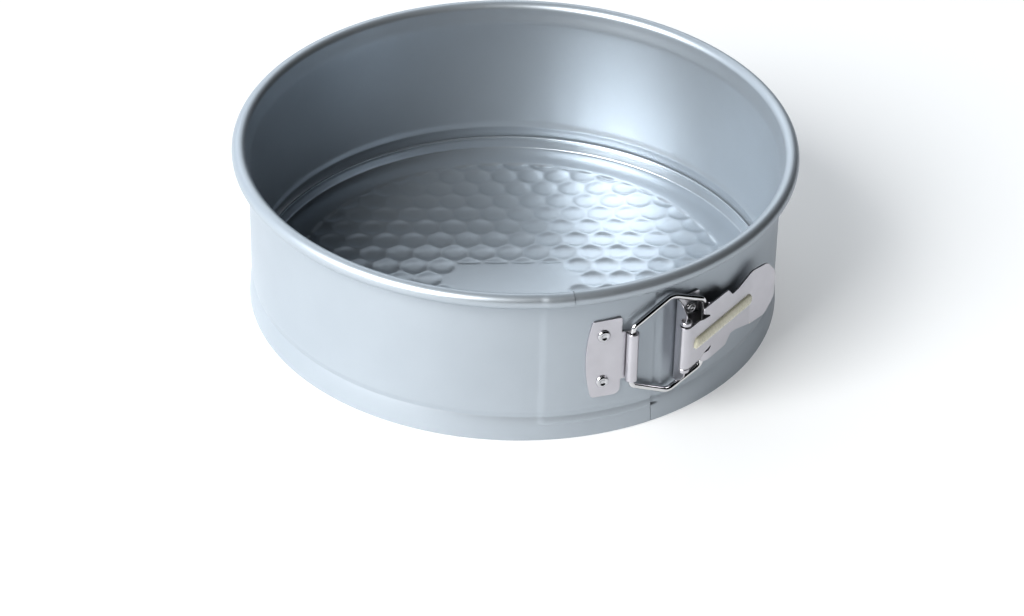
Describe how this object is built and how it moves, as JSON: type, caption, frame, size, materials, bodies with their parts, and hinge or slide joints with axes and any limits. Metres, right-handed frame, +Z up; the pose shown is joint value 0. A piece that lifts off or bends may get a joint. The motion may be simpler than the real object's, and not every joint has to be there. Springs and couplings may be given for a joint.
{
  "type": "springform cake pan",
  "caption": "Round springform cake pan: a curled-rim steel ring that opens with an over-centre wire-and-lever latch, around a loose base plate with a raised edge.",
  "frame": {"origin": "on the ring's vertical axis, at the height of the surface the pan stands on", "axes": "+Z up along the ring's axis; the latch is on the -Y side, turned 35 degrees towards +X"},
  "size_m": [0.2442, 0.2442, 0.0758],
  "materials": {
    "coated_steel": "semi-matte blue-grey non-stick coating on sheet steel",
    "nickel_plate": "satin nickel plate on pressed steel",
    "chrome_wire": "bright plated wire"
  },
  "bodies": {
    "plate": {"base_plate": "coated_steel"},
    "ring": {"band_left": "coated_steel", "hinge_plate": "nickel_plate", "hinge_rivet_upper": "nickel_plate", "hinge_rivet_lower": "nickel_plate"},
    "ring_end": {"band_right": "coated_steel", "lever_bracket": "nickel_plate", "bracket_rivet_upper": "nickel_plate", "bracket_rivet_lower": "nickel_plate", "lever_pin": "chrome_wire"},
    "bail": {"bail_wire": "chrome_wire"},
    "lever": {"latch_lever": "nickel_plate"}
  },
  "joints": [
    {"name": "ring_lift", "type": "slide", "parent": "plate", "child": "ring", "axis": [0, 0, 1], "range_m": [0, 0.04]},
    {"name": "ring_spring", "type": "hinge", "parent": "ring", "child": "ring_end", "pos_m": [-0.06215, 0.1051, 0.0378], "axis": [0, 0, 1], "range_deg": [0, 1]},
    {"name": "lever_swing", "type": "hinge", "parent": "ring_end", "child": "lever", "pos_m": [0.07172, -0.09944, 0.0386], "axis": [0, 0, -1], "range_deg": [0, 100]},
    {"name": "bail_swing", "type": "hinge", "parent": "ring", "child": "bail", "pos_m": [0.04983, -0.10754, 0.0386], "axis": [0, 0, -1], "range_deg": [0, 31]}
  ],
  "couplings": [
    {"joint": "ring_spring", "follows": "lever_swing", "ratio": 0.0081},
    {"joint": "bail_swing", "follows": "lever_swing", "ratio": 0.304}
  ]
}
